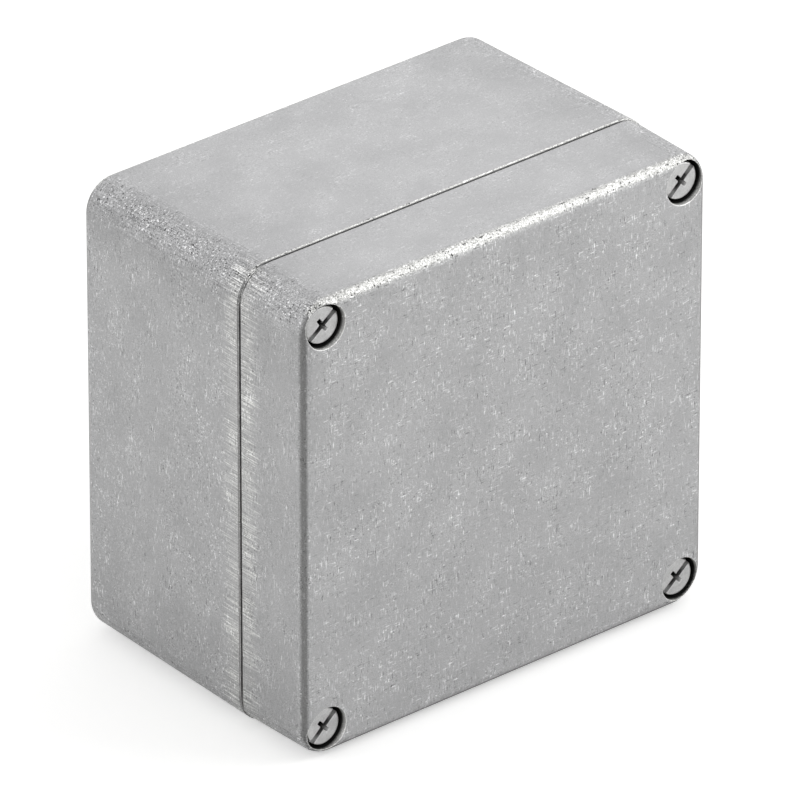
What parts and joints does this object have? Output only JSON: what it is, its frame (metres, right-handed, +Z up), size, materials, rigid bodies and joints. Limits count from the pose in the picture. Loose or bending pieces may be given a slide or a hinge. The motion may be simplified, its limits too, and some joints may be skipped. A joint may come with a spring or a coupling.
{
  "type": "die cast aluminium box",
  "caption": "Nearly square die cast enclosure: a deep base and a sealed lid held by captive corner screws, with wall mounting holes and an inner earth terminal.",
  "frame": {"origin": "middle of the underside, on the bounding box's bottom face", "axes": "+Z up the wall, +Y from the lid towards the wall, +X to the right of someone who faces the lid"},
  "size_m": [0.122, 0.08, 0.12],
  "materials": {
    "cast_aluminium": "tumbled raw casting, satin, ground flush beside the joint",
    "stainless_steel": "cold headed, satin",
    "seal_rubber": "matt moulded sponge rubber",
    "ring_nylon": "natural nylon",
    "earth_brass": "turned and stamped, slightly tarnished"
  },
  "bodies": {
    "base": {"base": "cast_aluminium", "earth_screw": "earth_brass", "earth_clamp": "earth_brass", "earth_tooth_washer": "stainless_steel"},
    "lid": {"lid": "cast_aluminium", "gasket": "seal_rubber"},
    "screw_ring_1": {"screw_ring_1": "ring_nylon"},
    "lid_screw_1": {"lid_screw_1": "stainless_steel"},
    "screw_ring_2": {"screw_ring_2": "ring_nylon"},
    "lid_screw_2": {"lid_screw_2": "stainless_steel"},
    "screw_ring_3": {"screw_ring_3": "ring_nylon"},
    "lid_screw_3": {"lid_screw_3": "stainless_steel"},
    "screw_ring_4": {"screw_ring_4": "ring_nylon"},
    "lid_screw_4": {"lid_screw_4": "stainless_steel"}
  },
  "joints": [
    {"name": "lid_lift_off", "type": "slide", "parent": "base", "child": "lid", "axis": [0, -1, 0], "range_m": [0, 0.06]},
    {"name": "lid_screw_1_turn", "type": "hinge", "parent": "lid", "child": "screw_ring_1", "pos_m": [-0.0534, -0.04, 0.1124], "axis": [0, -1, 0], "range_deg": [0, 2880]},
    {"name": "lid_screw_1_travel", "type": "slide", "parent": "screw_ring_1", "child": "lid_screw_1", "axis": [0, -1, 0], "range_m": [0, 0.008]},
    {"name": "lid_screw_2_turn", "type": "hinge", "parent": "lid", "child": "screw_ring_2", "pos_m": [0.0534, -0.04, 0.1124], "axis": [0, -1, 0], "range_deg": [0, 2880]},
    {"name": "lid_screw_2_travel", "type": "slide", "parent": "screw_ring_2", "child": "lid_screw_2", "axis": [0, -1, 0], "range_m": [0, 0.008]},
    {"name": "lid_screw_3_turn", "type": "hinge", "parent": "lid", "child": "screw_ring_3", "pos_m": [0.0534, -0.04, 0.0076], "axis": [0, -1, 0], "range_deg": [0, 2880]},
    {"name": "lid_screw_3_travel", "type": "slide", "parent": "screw_ring_3", "child": "lid_screw_3", "axis": [0, -1, 0], "range_m": [0, 0.008]},
    {"name": "lid_screw_4_turn", "type": "hinge", "parent": "lid", "child": "screw_ring_4", "pos_m": [-0.0534, -0.04, 0.0076], "axis": [0, -1, 0], "range_deg": [0, 2880]},
    {"name": "lid_screw_4_travel", "type": "slide", "parent": "screw_ring_4", "child": "lid_screw_4", "axis": [0, -1, 0], "range_m": [0, 0.008]}
  ],
  "couplings": [
    {"joint": "lid_screw_1_turn", "follows": "lid_screw_1_travel", "rad_per_m": 6283.2},
    {"joint": "lid_screw_2_turn", "follows": "lid_screw_2_travel", "rad_per_m": 6283.2},
    {"joint": "lid_screw_3_turn", "follows": "lid_screw_3_travel", "rad_per_m": 6283.2},
    {"joint": "lid_screw_4_turn", "follows": "lid_screw_4_travel", "rad_per_m": 6283.2}
  ]
}
